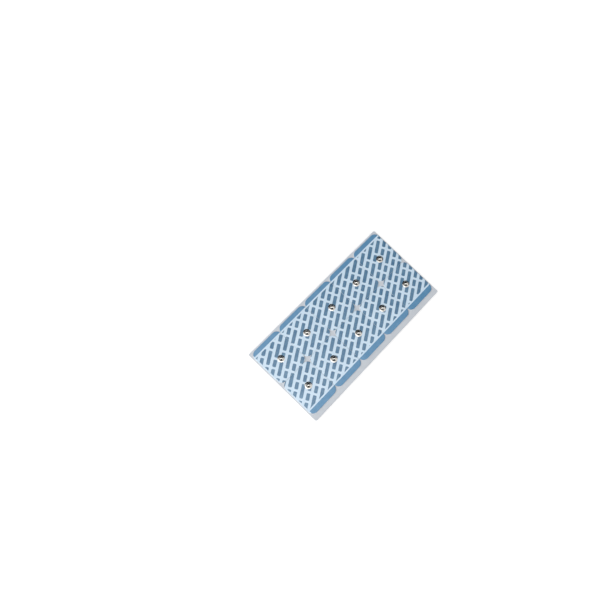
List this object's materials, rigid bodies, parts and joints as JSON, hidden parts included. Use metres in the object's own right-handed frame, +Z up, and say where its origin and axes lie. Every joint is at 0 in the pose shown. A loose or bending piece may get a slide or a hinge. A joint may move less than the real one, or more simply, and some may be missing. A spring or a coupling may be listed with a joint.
{
  "type": "ecg electrode card",
  "caption": "Flat card of foam ECG electrodes: rounded pads with pull tabs and central metal snap studs, die-cut side by side on one release liner.",
  "frame": {"origin": "under the middle of the liner, on the surface that it lies on", "axes": "+X along the rows, +Y across them from row b to row a, +Z up out of the printed face"},
  "size_m": [0.1668, 0.0816, 0.0041],
  "materials": {
    "liner_film": "satin",
    "printed_foam": "satin",
    "hydrogel": "gloss",
    "silver_coated_plastic": "matte",
    "plated_metal": "polished"
  },
  "bodies": {
    "root": {"release_liner": "liner_film", "foam_pad_a1": "printed_foam", "foam_pad_a2": "printed_foam", "foam_pad_a3": "printed_foam", "foam_pad_a4": "printed_foam", "foam_pad_a5": "printed_foam", "foam_pad_b1": "printed_foam", "foam_pad_b2": "printed_foam", "foam_pad_b3": "printed_foam", "foam_pad_b4": "printed_foam", "foam_pad_b5": "printed_foam", "gel_pad_a1": "hydrogel", "gel_pad_a2": "hydrogel", "gel_pad_a3": "hydrogel", "gel_pad_a4": "hydrogel", "gel_pad_a5": "hydrogel", "gel_pad_b1": "hydrogel", "gel_pad_b2": "hydrogel", "gel_pad_b3": "hydrogel", "gel_pad_b4": "hydrogel", "gel_pad_b5": "hydrogel", "sensor_eyelet_a1": "silver_coated_plastic", "sensor_eyelet_a2": "silver_coated_plastic", "sensor_eyelet_a3": "silver_coated_plastic", "sensor_eyelet_a4": "silver_coated_plastic", "sensor_eyelet_a5": "silver_coated_plastic", "sensor_eyelet_b1": "silver_coated_plastic", "sensor_eyelet_b2": "silver_coated_plastic", "sensor_eyelet_b3": "silver_coated_plastic", "sensor_eyelet_b4": "silver_coated_plastic", "sensor_eyelet_b5": "silver_coated_plastic", "snap_stud_a1": "plated_metal", "snap_stud_a2": "plated_metal", "snap_stud_a3": "plated_metal", "snap_stud_a4": "plated_metal", "snap_stud_a5": "plated_metal", "snap_stud_b1": "plated_metal", "snap_stud_b2": "plated_metal", "snap_stud_b3": "plated_metal", "snap_stud_b4": "plated_metal", "snap_stud_b5": "plated_metal"}
  },
  "joints": []
}
